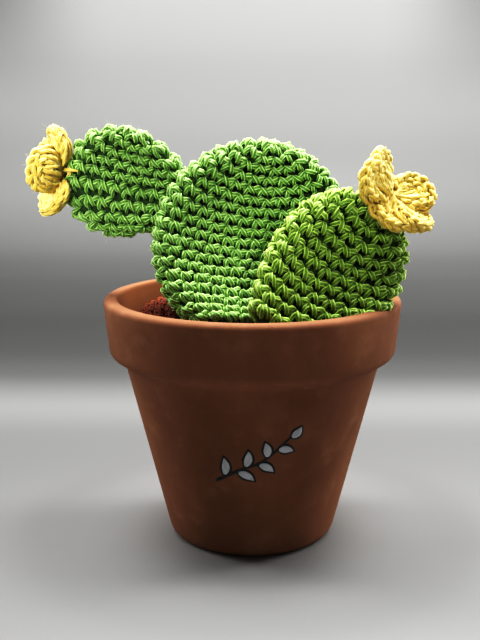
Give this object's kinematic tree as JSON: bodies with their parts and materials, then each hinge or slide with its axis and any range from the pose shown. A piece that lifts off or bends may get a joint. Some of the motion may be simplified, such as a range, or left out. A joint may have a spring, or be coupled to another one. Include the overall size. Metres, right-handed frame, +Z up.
{
  "type": "crocheted prickly pear cactus in a terracotta pot",
  "caption": "Crocheted, stuffed prickly pear: round flat pads with yarn blooms at their tips, sewn on a soil-brown cushion in a tapered terracotta flowerpot with a banded rim.",
  "frame": {"origin": "on the floor, in the middle of the space that the whole thing takes up; the pot's axis lies 10 mm towards +X of it", "axes": "+Z up, the front of the pads faces -Y, and the low right pad is on the +X side"},
  "size_m": [0.1714, 0.13, 0.1832],
  "materials": {
    "terracotta": "unglazed, matte and slightly sandy",
    "soil_yarn": "soft plied yarn, crocheted",
    "green_yarn": "soft plied yarn, crocheted",
    "lime_yarn": "soft plied yarn, crocheted",
    "yellow_yarn": "soft plied yarn, crocheted"
  },
  "bodies": {
    "root": {"pot": "terracotta", "soil_cushion": "soil_yarn", "large_pad": "green_yarn", "left_pad": "green_yarn", "right_pad": "lime_yarn", "left_flower": "yellow_yarn", "right_flower": "yellow_yarn"}
  },
  "joints": []
}
